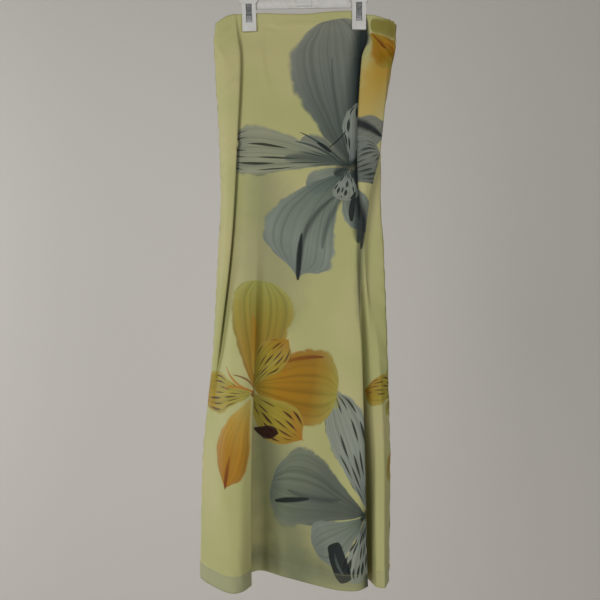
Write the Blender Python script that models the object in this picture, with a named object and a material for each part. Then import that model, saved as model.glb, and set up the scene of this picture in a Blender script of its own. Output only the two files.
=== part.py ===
"""A maxi skirt held by a two-clip hanger.

The skirt is a front and a back panel that hang as one folded tube. X runs to the
right, Y away from the viewer, Z up, in metres. The origin is where the hook rests on
a rail. Each row of FRONT_FOLDS is one fold line from waist to hem.
"""

import math

import bmesh
import bpy
from mathutils import Matrix, Vector

MM = 0.001

CLOTH_COLOUR = (0.33, 0.32, 0.15)
CLOTH_ROUGHNESS = 0.55
PLASTIC_COLOUR = (0.72, 0.72, 0.70)
PLASTIC_ROUGHNESS = 0.35
STEEL_COLOUR = (0.45, 0.46, 0.46)
STEEL_ROUGHNESS = 0.38
STEEL_METALLIC = 0.9

# Skirt: waist height under the rail, and the drops from the waist edge at which the
# fold lines are stated, the last being the finished length
WAIST_HEIGHT = -112 * MM
STATIONS = tuple(drop * MM for drop in (0, 34, 80, 237, 320, 400, 595, 788, 981))
SKIRT_LENGTH = STATIONS[-1]
ROWS_BETWEEN_STATIONS = (2, 3, 3, 2, 4, 4, 6, 3)
WALL = 1.2 * MM
HEM_DEPTH = 28 * MM
HEM_EXTRA = 0.7 * MM
HEM_STEP = 2 * MM
SEAM_GAP = 0.3 * MM
FINE_STEPS = 9
COLUMN_STEPS = (3, 6)
FOLD_RADIUS = 2.2 * MM
FOLD_SHARE = 0.3
SOFTENING = 1.5 * MM
LIFT_FADE = 300 * MM

# Front fold lines from the left side seam to the right one: how far the waist edge is
# lifted there in millimetres, if the fold is a sharp one, then its (across, depth) in
# millimetres at each of the STATIONS
FRONT_FOLDS = (
    ("left_side", -15, True, (-151, 0), (-154, 0), (-152, 0),
     (-144, -2), (-142, -3), (-146, -4), (-157, 11), (-176, 30), (-180, 42)),
    ("left_flap", -5, False, (-133, -4), (-133, -7), (-130, -13),
     (-128, -20), (-129, -24), (-133, -24), (-154, -10), (-177, 22), (-181, 30)),
    ("left_flap_edge", -1, True, (-118, -4), (-113, -8.5), (-107, -14),
     (-112, -23), (-116, -26), (-122, -27), (-146, -14), (-174, 8), (-179, 16)),
    ("left_tuck", -1, True, (-114, -2.5), (-114, -4), (-121, -5),
     (-136, -6), (-136, -5), (-138, -3), (-146, -8), (-157, -16), (-165, -8)),
    ("left_fold", 0, False, (-108, -1.5), (-108, -1.5), (-105, -6),
     (-107, -16), (-110, -20), (-112, -25), (-120, -37), (-130, -48), (-118, -56)),
    ("tube_crown", 1, False, (-80, -1.5), (-80, -1.5), (-87, -9),
     (-90, -21), (-92, -26), (-95, -31), (-99, -45), (-106, -56), (-102, -49)),
    ("tube_edge", 1, True, (-64, -3), (-64, -3), (-69, -11),
     (-73, -22), (-75, -26), (-78, -30), (-82, -38), (-87, -42), (-88, -20)),
    ("tube_tuck", 0, False, (-50, -4), (-50, -5), (-53, -11),
     (-56, -21), (-60, -23), (-63, -25), (-77, -22), (-90, 2), (-92, 40)),
    ("panel_left", -1, False, (-26, -5), (-26, -6), (-29, -11),
     (-32, -20), (-35, -21), (-39, -22), (-53, -14), (-72, 16), (-77, 52)),
    ("panel_middle", -1, False, (5, -5), (5, -6), (2, -11),
     (0, -19), (-2, -19), (-5, -20), (-12, -14), (-26, 6), (-30, 18)),
    ("panel_right", 2, False, (36, -5), (36, -6), (36, -10),
     (39, -16), (38, -17), (36, -18), (32, -18), (22, -10), (15, -14)),
    ("panel_edge", 4, False, (64, -4), (64, -4), (69, -8),
     (74, -12), (74, -15), (72, -18), (73, -28), (69, -34), (65, -43)),
    ("right_pinch", 5, False, (85, -1.5), (85, -1.5), (94, -6),
     (100, -8), (84, -12), (80, -19), (90, -29), (91, -39), (92, -43)),
    ("right_fold", -1, True, (109, -1.5), (109, -1.5), (113, -5),
     (118, -8), (98, -11), (91, -19), (100, -27), (105, -34), (110, -24)),
    ("right_tuck", -3, True, (117, -6), (115, -7), (100, -15),
     (92, -20), (95, -20), (100, -12), (97, 4), (102, 18), (107, 24)),
    ("right_flap", -6, False, (129, -8), (129, -10), (121, -18),
     (111, -24), (104, -23), (103, -13), (106, -2), (115, -2), (116, 4)),
    ("right_flap_edge", -10, True, (147, -5), (146, -7), (145, -10),
     (132, -15), (114, -15), (107, -12), (115, -8), (125, -12), (124, -26)),
    ("right_step", -13, True, (155, -3), (155, -3), (152, -4),
     (122, 0), (108, -2), (105, -2), (131, -6), (139, -11), (137, -32)),
    ("right_side", -18, True, (161, 0), (161, 0), (154, 3),
     (135, 6), (135, 6), (140, 6), (147, 8), (152, 10), (149, 6)),
)

# Back fold lines from the right side seam to the left one: share of the way across,
# swing away from the mean back depth, and in millimetres the sideways shift of a fold
# at its fullest and the waist edge lift. The last column says if a clip holds it
BACK_FOLDS = (
    ("back_right_turn", 0.07, 0.3, 0, -8, False),
    ("back_right_flap_edge", 0.155, 0.9, -13, -1, True),
    ("back_right_tuck", 0.2, -0.8, 10, 2, True),
    ("back_right_clip", 0.265, -0.1, 0, 5, True),
    ("back_right_ridge", 0.36, 0.9, 0, 4, False),
    ("back_right_valley", 0.46, -0.5, 0, 1, False),
    ("back_middle_ridge", 0.56, 0.7, 0, -1, False),
    ("back_left_valley", 0.66, -0.8, 0, -1, False),
    ("back_left_clip", 0.76, 0.2, 0, 1, True),
    ("back_left_tuck", 0.82, -0.7, -9, 1, True),
    ("back_left_flap_edge", 0.875, 0.8, 12, 0, True),
    ("back_left_turn", 0.94, 0.2, 0, -5, False),
)
BACK_DEPTH = (4.5, 5, 14, 26, 30, 34, 48, 68, 84)
BACK_SWING = (0, 0.5, 4, 9, 10, 11, 14, 18, 21)
BACK_SHIFT = (0, 0.1, 0.8, 1, 1, 0.9, 0.5, 0.1, 0)
CLAMPED_DEPTH = 1.5
CLAMPED_STATIONS = 2

# Hanger: a moulded bar and hook with two sprung clips, tilted a little on its rail
HANGER_TILT = math.radians(-0.9)
BAR_BOTTOM = -102.5 * MM
BAR_HEIGHT = 16 * MM
BAR_WEB = 2.2 * MM
RIB_RADIUS = 2.2 * MM
RIB_SIDES = 10
RIB_END_GAP = 3 * MM
JOIN_DEPTH = 1 * MM
CLIP_SPACING = 190 * MM
CLIP_LEANS = {"left": math.radians(-1.2), "right": math.radians(1.2)}
END_BLOCK_WIDTH = 20 * MM
END_BLOCK_DEPTH = 3 * MM
HUB_WIDTH = 26 * MM
HUB_DEPTH = 7 * MM
HUB_RISE = 12 * MM
HOOK_WIRE = 3.2 * MM
# The hook's neck from the bar up, as (across, height) in millimetres
NECK = ((0, -92.5), (0, -60), (3, -50), (8.5, -42))
HOOK_RADIUS = 22 * MM
HOOK_START = math.radians(-50)
HOOK_END = math.radians(200)
HOOK_STEPS = 20
HOOK_SIDES = 12

JAW_WIDTH = 24 * MM
JAW_SHOULDER = 31 * MM
JAW_TOP = 36 * MM
JAW_CHAMFER = 2 * MM
SHOULDER_BASE = 22 * MM
SHOULDER_FLARE = 4 * MM
JAW_INNER = 2.9 * MM
JAW_PLATE = 2.6 * MM
PAD_HEIGHT = 14 * MM
PAD_INNER = 2.4 * MM
PAD_OUTER = 7.4 * MM
WINDOW_WIDTH = 10.4 * MM
WINDOW_BOTTOM = -15 * MM
WINDOW_TOP = 18 * MM
WINDOW_DEPTH = 9 * MM
JAW_BOTTOM = -30 * MM
SPRING_WIDTH = 8.8 * MM
SPRING_THICKNESS = 0.8 * MM
# Middle line of one spring arm from the top of its arch, as (depth, height) in
# millimetres from the clip's own centre on the waist edge
SPRING_ARM = (
    (0.0, 31.6), (1.1, 31.3), (1.9, 30.5), (2.2, 29.4), (2.2, 13.0),
    (3.6, 5.0), (4.3, -4.0), (4.1, -10.0), (3.7, -13.5),
)


def clear_scene():
    for thing in list(bpy.data.objects):
        bpy.data.objects.remove(thing, do_unlink=True)


def material(name, colour, roughness, metallic=0.0):
    made = bpy.data.materials.new(name)
    made.use_nodes = True
    shader = made.node_tree.nodes["Principled BSDF"]
    shader.inputs["Base Color"].default_value = (*colour, 1.0)
    shader.inputs["Roughness"].default_value = roughness
    shader.inputs["Metallic"].default_value = metallic
    return made


def add_object(name, mesh, look, parent=None):
    made = bpy.data.objects.new(name, mesh)
    bpy.context.collection.objects.link(made)
    mesh.materials.clear()
    mesh.materials.append(look)
    made.parent = parent
    return made


def mesh_from(name, points, faces):
    mesh = bpy.data.meshes.new(name)
    mesh.from_pydata([tuple(point) for point in points], [], faces)
    mesh.update()
    return mesh


def along_stations(values, drop):
    """Smooth value at a drop, through one value for each station, with no overshoot."""
    last = len(STATIONS) - 1
    span = next((i for i in range(last) if drop <= STATIONS[i + 1]), last - 1)

    def rate(i):
        return (values[i + 1] - values[i]) / (STATIONS[i + 1] - STATIONS[i])

    def slope(i):
        if i in (0, last):
            return rate(max(i - 1, 0))
        before, after = rate(i - 1), rate(i)
        return 2 * before * after / (before + after) if before * after > 0 else 0.0

    width = STATIONS[span + 1] - STATIONS[span]
    t = (drop - STATIONS[span]) / width
    rise = values[span + 1] - values[span]
    start, end = slope(span) * width, slope(span + 1) * width
    curve = (start + end - 2 * rise) * t + (3 * rise - 2 * start - end)
    return values[span] + (curve * t + start) * t


def fold_lines():
    """Every fold line round the tube: name, waist lift, sharp or not, and its points."""
    lines = [(name, lift, sharp, points) for name, lift, sharp, *points in FRONT_FOLDS]
    left, right = lines[0][-1], lines[-1][-1]
    for name, share, swing, shift, lift, clamped in BACK_FOLDS:
        points = []
        for i in range(len(STATIONS)):
            across = right[i][0] + share * (left[i][0] - right[i][0]) + shift * BACK_SHIFT[i]
            depth = BACK_DEPTH[i] + swing * BACK_SWING[i]
            if clamped and i < CLAMPED_STATIONS:
                depth = CLAMPED_DEPTH
            points.append((across, depth))
        lines.append((name, lift, shift != 0, points))
    return lines


def ring_parts(lines):
    """The ring's points as (fold line, side): a sharp fold has three, round its tip."""
    parts = []
    for i, line in enumerate(lines):
        parts += [(i, side) for side in ((-1, 0, 1) if line[2] else (0,))]
    return parts


def fold_points(lines, drop):
    """The ring's points at one drop, as (across, depth, height)."""
    fade = max(0.0, 1 - drop / LIFT_FADE) ** 2
    tips = []
    for _name, lift, _sharp, points in lines:
        across = along_stations([point[0] for point in points], drop)
        depth = along_stations([point[1] for point in points], drop)
        height = WAIST_HEIGHT - drop + lift * MM * fade
        tips.append(Vector((across * MM, depth * MM, height)))
    made = []
    for i, side in ring_parts(lines):
        tip, before, after = tips[i], tips[i - 1] - tips[i], tips[(i + 1) % len(tips)] - tips[i]
        if side != 0:
            radius = min(FOLD_RADIUS, before.length * FOLD_SHARE, after.length * FOLD_SHARE)
            before.z = after.z = 0.0
            apart = (before.normalized() - after.normalized()).normalized()
            inwards = before.normalized() + after.normalized()
            tip = tip + radius * (inwards / 2 - side * apart)
        made.append(tip)
    return made


def curve_point(ring, span, t):
    """Place on the smooth closed curve through a ring of fold points."""
    count = len(ring)
    p = [ring[(span + step) % count] for step in (-1, 0, 1, 2)]
    knots = [0.0]
    for start, end in zip(p, p[1:]):
        knots.append(knots[-1] + max((end - start).length, MM) ** 0.5)
    at = knots[1] + t * (knots[2] - knots[1])

    def blend(a, b, i, j):
        return a + (b - a) * ((at - knots[i]) / (knots[j] - knots[i]))

    a = [blend(p[i], p[i + 1], i, i + 1) for i in range(3)]
    b = [blend(a[i], a[i + 1], i, i + 2) for i in range(2)]
    return blend(b[0], b[1], 1, 2)


def softened(points):
    """A closed line with its tight bends eased, as cloth eases a crease."""
    count = len(points)
    steps = [(points[(i + 1) % count] - points[i]).length for i in range(count)]
    made = []
    for i in range(count):
        total, weights = points[i].copy(), 1.0
        for direction in (1, -1):
            j, distance = i, 0.0
            while True:
                distance += steps[j % count] if direction == 1 else steps[(j - 1) % count]
                j += direction
                if distance > 2 * SOFTENING:
                    break
                weight = math.exp(-((distance / SOFTENING) ** 2))
                total += points[j % count] * weight
                weights += weight
        made.append(total / weights)
    return made


def columns(lines, first, last):
    """Places along the fine curve that carry a panel's columns, from one seam to the next."""
    parts = ring_parts(lines)
    start, end = (parts.index((fold % len(lines), 0)) for fold in (first, last))
    if end < start:
        end += len(parts)
    places = []
    for i in range(start, end):
        places.append(i * FINE_STEPS)
        if parts[i % len(parts)][0] != parts[(i + 1) % len(parts)][0]:
            places += [i * FINE_STEPS + step for step in COLUMN_STEPS]
    return places + [end * FINE_STEPS]


def section(lines, drop, first, last):
    """Points and outward normals along one section, from one side seam to the other."""
    ring = fold_points(lines, drop)
    curve = softened([
        curve_point(ring, span, step / FINE_STEPS)
        for span in range(len(ring))
        for step in range(FINE_STEPS)
    ])
    count = len(curve)
    made = []
    for i in columns(lines, first, last):
        heading = curve[(i + 1) % count] - curve[(i - 1) % count]
        heading.z = 0.0
        heading.normalize()
        made.append((curve[i % count].copy(), heading))
    made[0] = (made[0][0] + made[0][1] * SEAM_GAP / 2, made[0][1])
    made[-1] = (made[-1][0] - made[-1][1] * SEAM_GAP / 2, made[-1][1])
    return [(place, Vector((heading.y, -heading.x, 0.0))) for place, heading in made]


def row_drops():
    drops = []
    for start, end, count in zip(STATIONS, STATIONS[1:], ROWS_BETWEEN_STATIONS):
        drops += [start + (end - start) * step / count for step in range(count)]
    hem_top = SKIRT_LENGTH - HEM_DEPTH
    drops = [drop for drop in drops if abs(drop - hem_top) > 4 * HEM_STEP]
    return sorted(drops + [hem_top - HEM_STEP, hem_top, SKIRT_LENGTH])


def panel(name, lines, first, last, look):
    """One cloth panel: a thin wall on the sections, doubled inwards at the hem."""
    outer, inner = [], []
    hem_top = SKIRT_LENGTH - HEM_DEPTH
    for drop in row_drops():
        extra = HEM_EXTRA if drop >= hem_top else 0.0
        points = section(lines, drop, first, last)
        outer.append([place + normal * WALL / 2 for place, normal in points])
        inner.append([place - normal * (WALL / 2 + extra) for place, normal in points])
    rows, across = len(outer), len(outer[0])
    points = [point for layer in (outer, inner) for row in layer for point in row]

    def index(layer, row, column):
        return (layer * rows + row) * across + column

    faces = []
    for row in range(rows - 1):
        for column in range(across - 1):
            square = [(row, column), (row + 1, column), (row + 1, column + 1), (row, column + 1)]
            faces.append([index(0, *corner) for corner in square])
            faces.append([index(1, *corner) for corner in reversed(square)])
    for column in range(across - 1):
        for row, order in ((0, 1), (rows - 1, -1)):
            edge = [(0, row, column), (0, row, column + 1), (1, row, column + 1), (1, row, column)]
            faces.append([index(*corner) for corner in edge[::order]])
    for row in range(rows - 1):
        for column, order in ((0, -1), (across - 1, 1)):
            edge = [(0, row, column), (0, row + 1, column), (1, row + 1, column), (1, row, column)]
            faces.append([index(*corner) for corner in edge[::order]])
    made = add_object(name, mesh_from(name, points, faces), look)
    made.data.shade_smooth()
    return made


def skirt():
    lines = fold_lines()
    front_last = len(FRONT_FOLDS) - 1
    front_look = material("printed_crepe_front", CLOTH_COLOUR, CLOTH_ROUGHNESS)
    back_look = material("printed_crepe_back", CLOTH_COLOUR, CLOTH_ROUGHNESS)
    panel("skirt_front", lines, 0, front_last, front_look)
    panel("skirt_back", lines, front_last, len(lines), back_look)


def block(low, high):
    """A box's mesh between two corners."""
    mesh = bpy.data.meshes.new("block")
    shape = bmesh.new()
    bmesh.ops.create_cube(shape, size=1.0)
    size = Vector(high) - Vector(low)
    middle = (Vector(high) + Vector(low)) / 2
    bmesh.ops.transform(
        shape,
        matrix=Matrix.Translation(middle) @ Matrix.Diagonal((*size, 1.0)),
        verts=shape.verts,
    )
    shape.to_mesh(mesh)
    shape.free()
    return mesh


def tube(path, radius, sides):
    """A closed round bar along a path that lies in the plane Y = 0."""
    rings = []
    for i, place in enumerate(path):
        heading = (path[min(i + 1, len(path) - 1)] - path[max(i - 1, 0)]).normalized()
        across = Vector((heading.z, 0.0, -heading.x))
        rings.append([
            place + radius * (math.cos(turn) * across + math.sin(turn) * Vector((0, 1, 0)))
            for turn in (2 * math.pi * side / sides for side in range(sides))
        ])
    points = [point for ring in rings for point in ring]
    faces = [
        [i * sides + side, i * sides + (side + 1) % sides,
         (i + 1) * sides + (side + 1) % sides, (i + 1) * sides + side]
        for i in range(len(rings) - 1)
        for side in range(sides)
    ]
    faces.append(list(reversed(range(sides))))
    faces.append([(len(rings) - 1) * sides + side for side in range(sides)])
    mesh = mesh_from("tube", points, faces)
    outward(mesh)
    return mesh


def outward(mesh):
    shape = bmesh.new()
    shape.from_mesh(mesh)
    bmesh.ops.recalc_face_normals(shape, faces=shape.faces)
    shape.to_mesh(mesh)
    shape.free()


def cut_or_join(target, mesh, operation, label):
    """Adds a Boolean with a hidden guide object that has the target's own placing."""
    guide = bpy.data.objects.new(label, mesh)
    bpy.context.collection.objects.link(guide)
    guide.parent = target.parent
    guide.matrix_basis = target.matrix_basis.copy()
    guide.hide_render = True
    guide.display_type = "WIRE"
    change = target.modifiers.new(label, "BOOLEAN")
    change.operation = operation
    change.solver = "EXACT"
    change.object = guide


def hook_path():
    """Neck and hook, whose inner top touches the origin."""
    middle = Vector((0.0, 0.0, HOOK_WIRE - HOOK_RADIUS))
    path = [Vector((across * MM, 0.0, height * MM)) for across, height in NECK]
    for step in range(HOOK_STEPS + 1):
        turn = HOOK_START + (HOOK_END - HOOK_START) * step / HOOK_STEPS
        path.append(middle + HOOK_RADIUS * Vector((math.cos(turn), 0.0, math.sin(turn))))
    return path


def hanger_frame(parent, look):
    """The bar with its two ribs, its end blocks, its hub and its hook, in one piece."""
    half = CLIP_SPACING / 2
    top = BAR_BOTTOM + BAR_HEIGHT
    web = block(
        (-half, -BAR_WEB / 2, BAR_BOTTOM + JOIN_DEPTH),
        (half, BAR_WEB / 2, top - JOIN_DEPTH),
    )
    frame = add_object("hanger_frame", web, look, parent)
    reach = half - END_BLOCK_WIDTH / 2 - RIB_END_GAP
    for label, height in (("lower", BAR_BOTTOM + RIB_RADIUS), ("upper", top - RIB_RADIUS)):
        ends = [Vector((-reach, 0, height)), Vector((reach, 0, height))]
        rib = tube(ends, RIB_RADIUS, RIB_SIDES)
        cut_or_join(frame, rib, "UNION", f"{label}_rib_guide")
    for label, side in (("left", -1), ("right", 1)):
        centre = side * half
        end_block = block(
            (centre - END_BLOCK_WIDTH / 2, -END_BLOCK_DEPTH / 2, BAR_BOTTOM),
            (centre + END_BLOCK_WIDTH / 2, END_BLOCK_DEPTH / 2, top),
        )
        cut_or_join(frame, end_block, "UNION", f"{label}_end_guide")
    hub = block(
        (-HUB_WIDTH / 2, -HUB_DEPTH / 2, top - HUB_RISE),
        (HUB_WIDTH / 2, HUB_DEPTH / 2, top + HUB_RISE / 2),
    )
    cut_or_join(frame, hub, "UNION", "hub_guide")
    cut_or_join(frame, tube(hook_path(), HOOK_WIRE, HOOK_SIDES), "UNION", "hook_guide")


def jaw_mesh(facing):
    """One jaw: a plate with shoulders on top and a thick pad below; facing is -1 or 1."""
    half, shoulder = JAW_WIDTH / 2, JAW_SHOULDER / 2
    pad_top = JAW_BOTTOM + PAD_HEIGHT
    outline = [
        (-half, pad_top), (half, pad_top), (half, SHOULDER_BASE - SHOULDER_FLARE),
        (shoulder, SHOULDER_BASE), (shoulder, JAW_TOP - JAW_CHAMFER),
        (shoulder - JAW_CHAMFER, JAW_TOP), (JAW_CHAMFER - shoulder, JAW_TOP),
        (-shoulder, JAW_TOP - JAW_CHAMFER), (-shoulder, SHOULDER_BASE),
        (-half, SHOULDER_BASE - SHOULDER_FLARE),
    ]
    near, far = facing * JAW_INNER, facing * (JAW_INNER + JAW_PLATE)
    count = len(outline)
    points = [(across, near, height) for across, height in outline]
    points += [(across, far, height) for across, height in outline]
    faces = [list(range(count)), list(reversed(range(count, 2 * count)))]
    faces += [[i, (i + 1) % count, count + (i + 1) % count, count + i] for i in range(count)]
    mesh = mesh_from("jaw_plate", points, faces)
    outward(mesh)
    return mesh


def clip(side, centre, parent, plastic, steel):
    """A clip's two jaws and the bent steel strip that presses them together."""
    place = Vector((centre, 0.0, WAIST_HEIGHT))
    for label, facing in (("front", -1), ("back", 1)):
        jaw = add_object(f"clip_{side}_{label}_jaw", jaw_mesh(facing), plastic, parent)
        jaw.location = place
        jaw.rotation_euler = (0.0, CLIP_LEANS[side], 0.0)
        bpy.context.view_layer.update()
        depths = sorted((facing * PAD_INNER, facing * PAD_OUTER))
        pad = block(
            (-JAW_WIDTH / 2, depths[0], JAW_BOTTOM),
            (JAW_WIDTH / 2, depths[1], JAW_BOTTOM + PAD_HEIGHT + JOIN_DEPTH),
        )
        cut_or_join(jaw, pad, "UNION", f"{side}_{label}_pad_guide")
        window = block(
            (-WINDOW_WIDTH / 2, min(0.0, facing * WINDOW_DEPTH), WINDOW_BOTTOM),
            (WINDOW_WIDTH / 2, max(0.0, facing * WINDOW_DEPTH), WINDOW_TOP),
        )
        cut_or_join(jaw, window, "DIFFERENCE", f"{side}_{label}_window_guide")
    spring = add_object(f"clip_{side}_spring", spring_mesh(), steel, parent)
    spring.location = place
    spring.rotation_euler = (0.0, CLIP_LEANS[side], 0.0)


def spring_mesh():
    arm = [Vector((depth * MM, height * MM)) for depth, height in SPRING_ARM]
    line = [Vector((-point.x, point.y)) for point in reversed(arm)] + arm[1:]
    outside, inside = [], []
    for i, point in enumerate(line):
        heading = (line[min(i + 1, len(line) - 1)] - line[max(i - 1, 0)]).normalized()
        normal = Vector((-heading.y, heading.x)) * SPRING_THICKNESS / 2
        outside.append(point + normal)
        inside.append(point - normal)
    outline = outside + inside[::-1]
    count = len(outline)
    points = [(-SPRING_WIDTH / 2, depth, height) for depth, height in outline]
    points += [(SPRING_WIDTH / 2, depth, height) for depth, height in outline]
    half = len(outside)
    faces = [[i, (i + 1) % count, count + (i + 1) % count, count + i] for i in range(count)]
    for layer in (0, count):
        faces += [
            [layer + i, layer + i + 1, layer + count - 2 - i, layer + count - 1 - i]
            for i in range(half - 1)
        ]
    mesh = mesh_from("spring", points, faces)
    outward(mesh)
    return mesh


def hanger():
    plastic = material("white_plastic", PLASTIC_COLOUR, PLASTIC_ROUGHNESS)
    steel = material("grey_steel", STEEL_COLOUR, STEEL_ROUGHNESS, STEEL_METALLIC)
    tilt = bpy.data.objects.new("hanger_tilt", None)
    bpy.context.collection.objects.link(tilt)
    tilt.rotation_euler = (0.0, HANGER_TILT, 0.0)
    hanger_frame(tilt, plastic)
    for side, sign in (("left", -1), ("right", 1)):
        clip(side, sign * CLIP_SPACING / 2, tilt, plastic, steel)


def main():
    clear_scene()
    skirt()
    hanger()


main()
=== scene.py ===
"""Looks of a maxi skirt that hangs from a two-clip hanger.

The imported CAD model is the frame. Each cloth panel here is a fine shell on the same
fold lines as its solid, in metres, with creases, puckers and hem added in its own flat
sizes. X runs to the viewer's right, Y away from the viewer, Z up. A place on the cloth
is (across, drop): millimetres from the panel's middle fold line and from the waist edge.
"""

import math

import bmesh
import bpy
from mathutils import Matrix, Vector, noise


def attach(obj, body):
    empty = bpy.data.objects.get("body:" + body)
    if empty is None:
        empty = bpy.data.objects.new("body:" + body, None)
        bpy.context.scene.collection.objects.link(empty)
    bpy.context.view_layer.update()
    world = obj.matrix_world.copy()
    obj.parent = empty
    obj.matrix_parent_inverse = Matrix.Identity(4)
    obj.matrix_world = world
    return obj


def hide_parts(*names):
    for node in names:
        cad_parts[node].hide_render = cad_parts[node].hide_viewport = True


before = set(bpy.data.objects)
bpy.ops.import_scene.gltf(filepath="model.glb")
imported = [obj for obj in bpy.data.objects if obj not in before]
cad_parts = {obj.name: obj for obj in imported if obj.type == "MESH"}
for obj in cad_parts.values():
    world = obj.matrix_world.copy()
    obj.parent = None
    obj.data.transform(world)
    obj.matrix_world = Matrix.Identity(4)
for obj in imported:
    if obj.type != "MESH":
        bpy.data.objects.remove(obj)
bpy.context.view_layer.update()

MM = 0.001

# The cloth's form: the same stations and fold lines as the solids
WAIST_HEIGHT = -112 * MM
STATIONS = tuple(drop * MM for drop in (0, 34, 80, 237, 320, 400, 595, 788, 981))
SKIRT_LENGTH = STATIONS[-1]
SHEET_THICKNESS = 0.8 * MM
HEM_DEPTH = 28 * MM
SEAM_GAP = 0.3 * MM
FINE_STEPS = 10
FOLD_RADIUS = 2.2 * MM
FOLD_SHARE = 0.3
SOFTENING = 1.5 * MM
LIFT_FADE = 300 * MM
ROW_HEIGHT = 3.2 * MM
HEM_STEP = 1.2 * MM
COLUMN_WIDTH = 4.1 * MM
COLUMN_DROPS = (0.05, 0.24, 0.788)

# Front fold lines from the left side seam to the right one: how far the waist edge is
# lifted there in millimetres, if the fold is a sharp one, then its (across, depth) in
# millimetres at each of the STATIONS
FRONT_FOLDS = (
    ("left_side", -15, True, (-151, 0), (-154, 0), (-152, 0),
     (-144, -2), (-142, -3), (-146, -4), (-157, 11), (-176, 30), (-180, 42)),
    ("left_flap", -5, False, (-133, -4), (-133, -7), (-130, -13),
     (-128, -20), (-129, -24), (-133, -24), (-154, -10), (-177, 22), (-181, 30)),
    ("left_flap_edge", -1, True, (-118, -4), (-113, -8.5), (-107, -14),
     (-112, -23), (-116, -26), (-122, -27), (-146, -14), (-174, 8), (-179, 16)),
    ("left_tuck", -1, True, (-114, -2.5), (-114, -4), (-121, -5),
     (-136, -6), (-136, -5), (-138, -3), (-146, -8), (-157, -16), (-165, -8)),
    ("left_fold", 0, False, (-108, -1.5), (-108, -1.5), (-105, -6),
     (-107, -16), (-110, -20), (-112, -25), (-120, -37), (-130, -48), (-118, -56)),
    ("tube_crown", 1, False, (-80, -1.5), (-80, -1.5), (-87, -9),
     (-90, -21), (-92, -26), (-95, -31), (-99, -45), (-106, -56), (-102, -49)),
    ("tube_edge", 1, True, (-64, -3), (-64, -3), (-69, -11),
     (-73, -22), (-75, -26), (-78, -30), (-82, -38), (-87, -42), (-88, -20)),
    ("tube_tuck", 0, False, (-50, -4), (-50, -5), (-53, -11),
     (-56, -21), (-60, -23), (-63, -25), (-77, -22), (-90, 2), (-92, 40)),
    ("panel_left", -1, False, (-26, -5), (-26, -6), (-29, -11),
     (-32, -20), (-35, -21), (-39, -22), (-53, -14), (-72, 16), (-77, 52)),
    ("panel_middle", -1, False, (5, -5), (5, -6), (2, -11),
     (0, -19), (-2, -19), (-5, -20), (-12, -14), (-26, 6), (-30, 18)),
    ("panel_right", 2, False, (36, -5), (36, -6), (36, -10),
     (39, -16), (38, -17), (36, -18), (32, -18), (22, -10), (15, -14)),
    ("panel_edge", 4, False, (64, -4), (64, -4), (69, -8),
     (74, -12), (74, -15), (72, -18), (73, -28), (69, -34), (65, -43)),
    ("right_pinch", 5, False, (85, -1.5), (85, -1.5), (94, -6),
     (100, -8), (84, -12), (80, -19), (90, -29), (91, -39), (92, -43)),
    ("right_fold", -1, True, (109, -1.5), (109, -1.5), (113, -5),
     (118, -8), (98, -11), (91, -19), (100, -27), (105, -34), (110, -24)),
    ("right_tuck", -3, True, (117, -6), (115, -7), (100, -15),
     (92, -20), (95, -20), (100, -12), (97, 4), (102, 18), (107, 24)),
    ("right_flap", -6, False, (129, -8), (129, -10), (121, -18),
     (111, -24), (104, -23), (103, -13), (106, -2), (115, -2), (116, 4)),
    ("right_flap_edge", -10, True, (147, -5), (146, -7), (145, -10),
     (132, -15), (114, -15), (107, -12), (115, -8), (125, -12), (124, -26)),
    ("right_step", -13, True, (155, -3), (155, -3), (152, -4),
     (122, 0), (108, -2), (105, -2), (131, -6), (139, -11), (137, -32)),
    ("right_side", -18, True, (161, 0), (161, 0), (154, 3),
     (135, 6), (135, 6), (140, 6), (147, 8), (152, 10), (149, 6)),
)

# Back fold lines from the right side seam to the left one: share of the way across,
# swing away from the mean back depth, and in millimetres the sideways shift of a fold
# at its fullest and the waist edge lift. The last column says if a clip holds it
BACK_FOLDS = (
    ("back_right_turn", 0.07, 0.3, 0, -8, False),
    ("back_right_flap_edge", 0.155, 0.9, -13, -1, True),
    ("back_right_tuck", 0.2, -0.8, 10, 2, True),
    ("back_right_clip", 0.265, -0.1, 0, 5, True),
    ("back_right_ridge", 0.36, 0.9, 0, 4, False),
    ("back_right_valley", 0.46, -0.5, 0, 1, False),
    ("back_middle_ridge", 0.56, 0.7, 0, -1, False),
    ("back_left_valley", 0.66, -0.8, 0, -1, False),
    ("back_left_clip", 0.76, 0.2, 0, 1, True),
    ("back_left_tuck", 0.82, -0.7, -9, 1, True),
    ("back_left_flap_edge", 0.875, 0.8, 12, 0, True),
    ("back_left_turn", 0.94, 0.2, 0, -5, False),
)
BACK_DEPTH = (4.5, 5, 14, 26, 30, 34, 48, 68, 84)
BACK_SWING = (0, 0.5, 4, 9, 10, 11, 14, 18, 21)
BACK_SHIFT = (0, 0.1, 0.8, 1, 1, 0.9, 0.5, 0.1, 0)
CLAMPED_DEPTH = 1.5
CLAMPED_STATIONS = 2

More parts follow.
